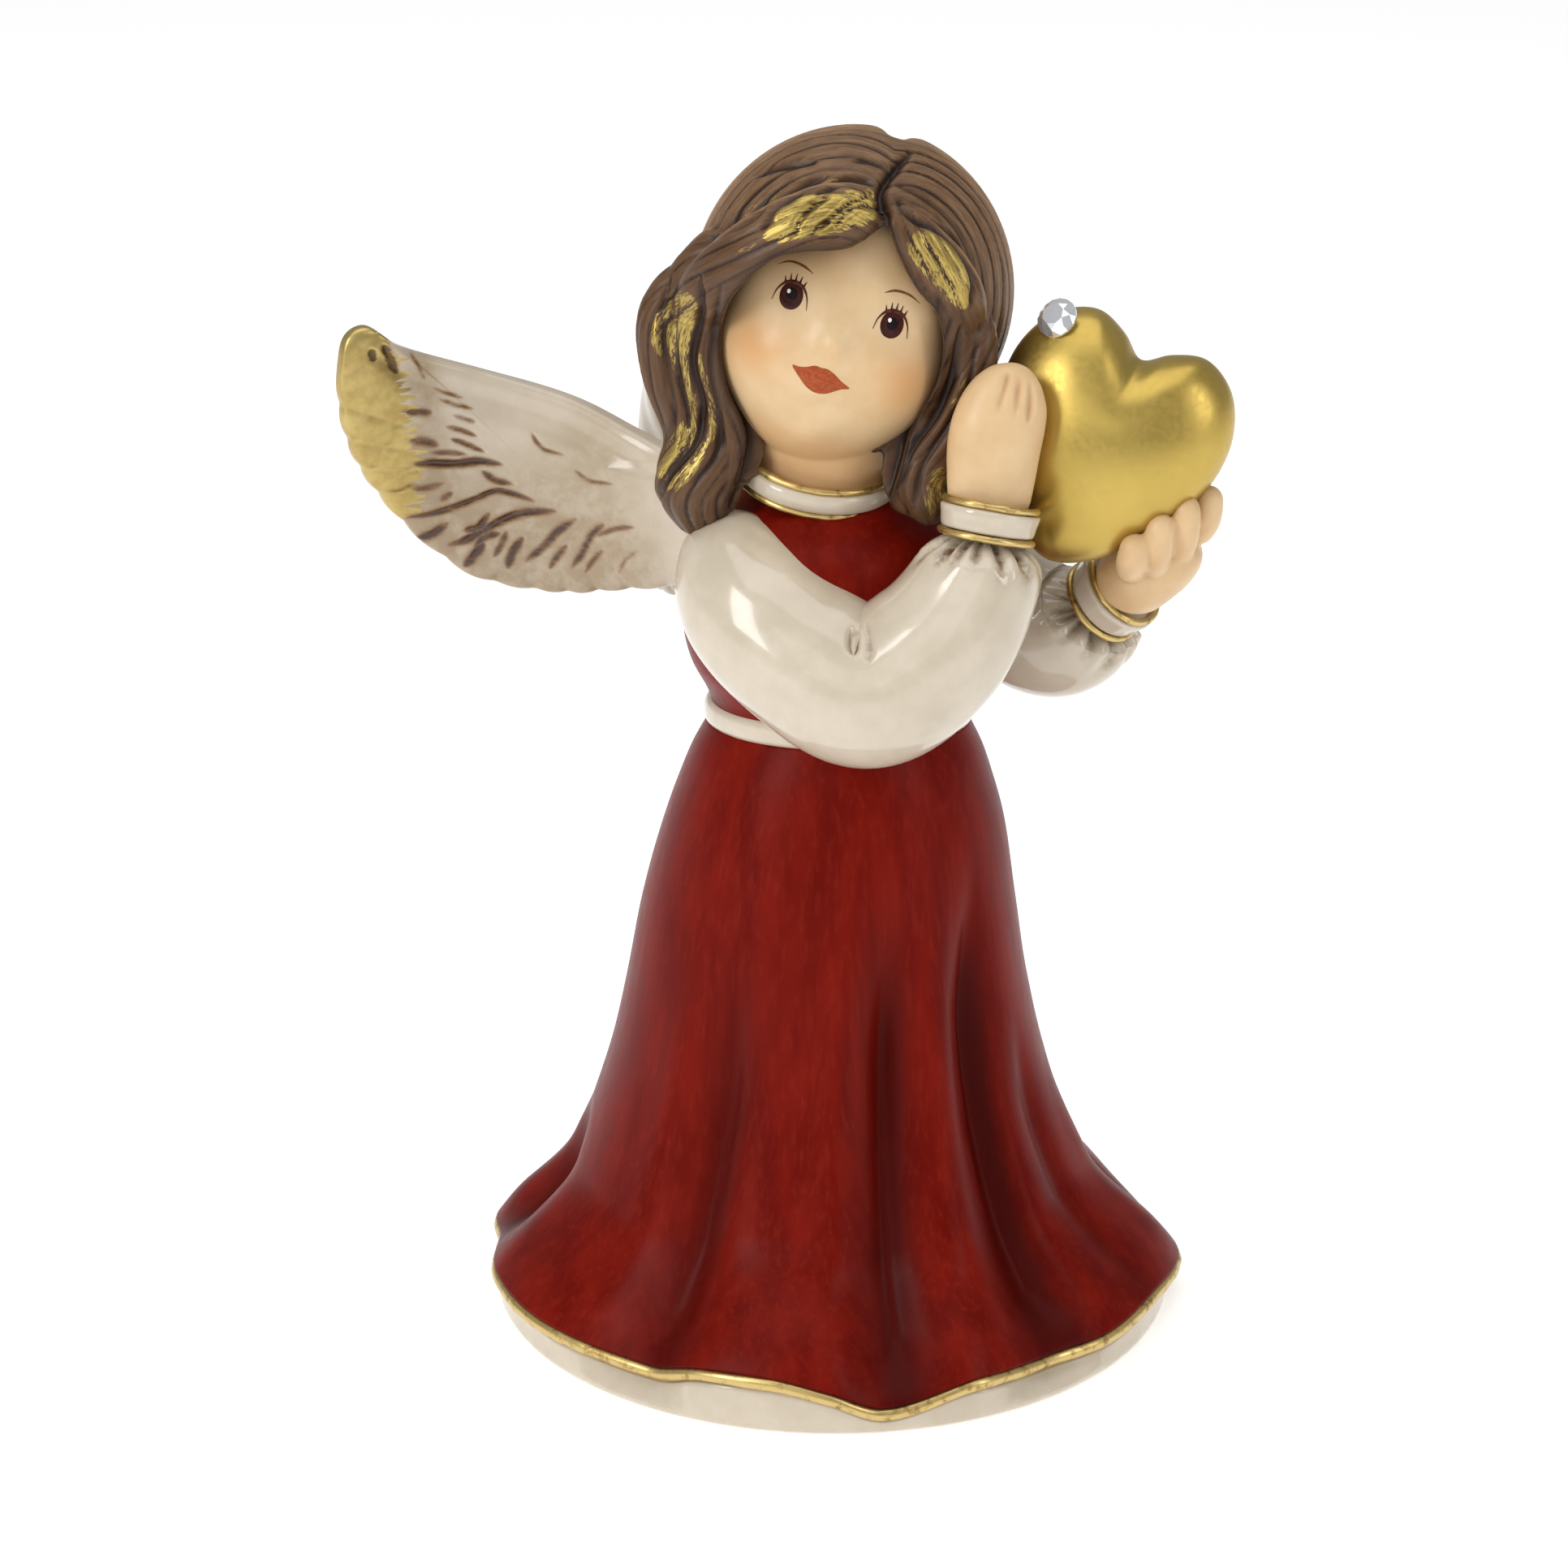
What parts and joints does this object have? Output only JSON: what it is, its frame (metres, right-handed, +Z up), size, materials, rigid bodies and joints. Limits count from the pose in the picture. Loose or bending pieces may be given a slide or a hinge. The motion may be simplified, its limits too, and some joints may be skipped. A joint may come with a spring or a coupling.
{
  "type": "figurine",
  "caption": "Moulded angel figurine in a long red gown and ivory sleeves, holding up a gold heart set with a clear crystal, on a round ivory foot.",
  "frame": {"origin": "centre of the foot's flat underside, on the surface that the figurine stands on", "axes": "+Z up; -Y towards the side that is shown; +X to the right of that side"},
  "size_m": [0.1008, 0.0975, 0.1393],
  "materials": {
    "red_gown": "semi-gloss deep red with vertical brush streaks",
    "ivory_glaze": "glossy ivory, with brown wash in the creases and feathers",
    "gilding": "thin antique gold paint",
    "satin_gold": "satin gold paint",
    "skin": "satin painted skin with blushed cheeks",
    "brown_hair": "satin brown, brushed with gold on the raised locks",
    "crystal": "clear faceted"
  },
  "bodies": {
    "root": {"foot": "ivory_glaze", "hem_gilt_edge": "gilding", "gown_skirt": "red_gown", "sash": "ivory_glaze", "gown_bodice": "red_gown", "collar_band": "ivory_glaze", "collar_gilt_lower": "gilding", "collar_gilt_upper": "gilding", "head": "skin", "hair_crown": "brown_hair", "hair_fringe_right": "brown_hair", "hair_fringe_left": "brown_hair", "hair_lock_right": "brown_hair", "hair_lock_left": "brown_hair", "sleeve_right": "ivory_glaze", "sleeve_left": "ivory_glaze", "cuff_right": "ivory_glaze", "cuff_left": "ivory_glaze", "cuff_gilt_lower_right": "gilding", "cuff_gilt_upper_right": "gilding", "cuff_gilt_lower_left": "gilding", "cuff_gilt_upper_left": "gilding", "hand_right": "skin", "hand_left": "skin", "heart": "satin_gold", "crystal": "crystal", "wing_right": "ivory_glaze", "wing_left": "ivory_glaze"}
  },
  "joints": []
}
